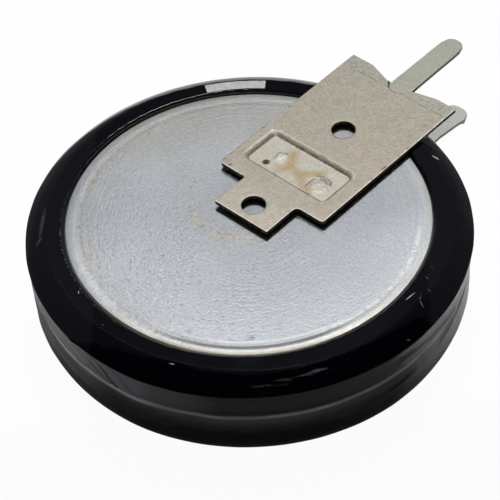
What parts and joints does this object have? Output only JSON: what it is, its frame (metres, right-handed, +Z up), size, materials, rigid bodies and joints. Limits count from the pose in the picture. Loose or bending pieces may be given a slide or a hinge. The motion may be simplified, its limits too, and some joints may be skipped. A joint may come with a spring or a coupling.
{
  "type": "supercapacitor",
  "caption": "Coin supercapacitor: stacked coin cells in a black shrink sleeve, with flat welded terminals and parallel flat pins.",
  "frame": {"origin": "on the coin's axis, at the plane that the lower terminal plate lies on", "axes": "+Z up the coin's axis towards the upper lid, +X along both pins towards their tips, +Y across the terminal plates"},
  "size_m": [0.0277, 0.0216, 0.0055],
  "materials": {
    "sleeve_film": "gloss",
    "cell_steel": "satin",
    "lid_steel": "satin",
    "gasket_plastic": "matte",
    "collector_carbon": "matte",
    "electrode_carbon": "matte",
    "separator_paper": "matte",
    "terminal_nickel": "satin"
  },
  "bodies": {
    "root": {"sleeve": "sleeve_film", "upper_case": "cell_steel", "upper_lid": "lid_steel", "upper_gasket": "gasket_plastic", "upper_case_collector": "collector_carbon", "upper_case_electrode": "electrode_carbon", "upper_separator": "separator_paper", "upper_lid_electrode": "electrode_carbon", "upper_lid_collector": "collector_carbon", "lower_case": "cell_steel", "lower_lid": "lid_steel", "lower_gasket": "gasket_plastic", "lower_case_collector": "collector_carbon", "lower_case_electrode": "electrode_carbon", "lower_separator": "separator_paper", "lower_lid_electrode": "electrode_carbon", "lower_lid_collector": "collector_carbon", "upper_terminal": "terminal_nickel", "lower_terminal": "terminal_nickel"}
  },
  "joints": []
}
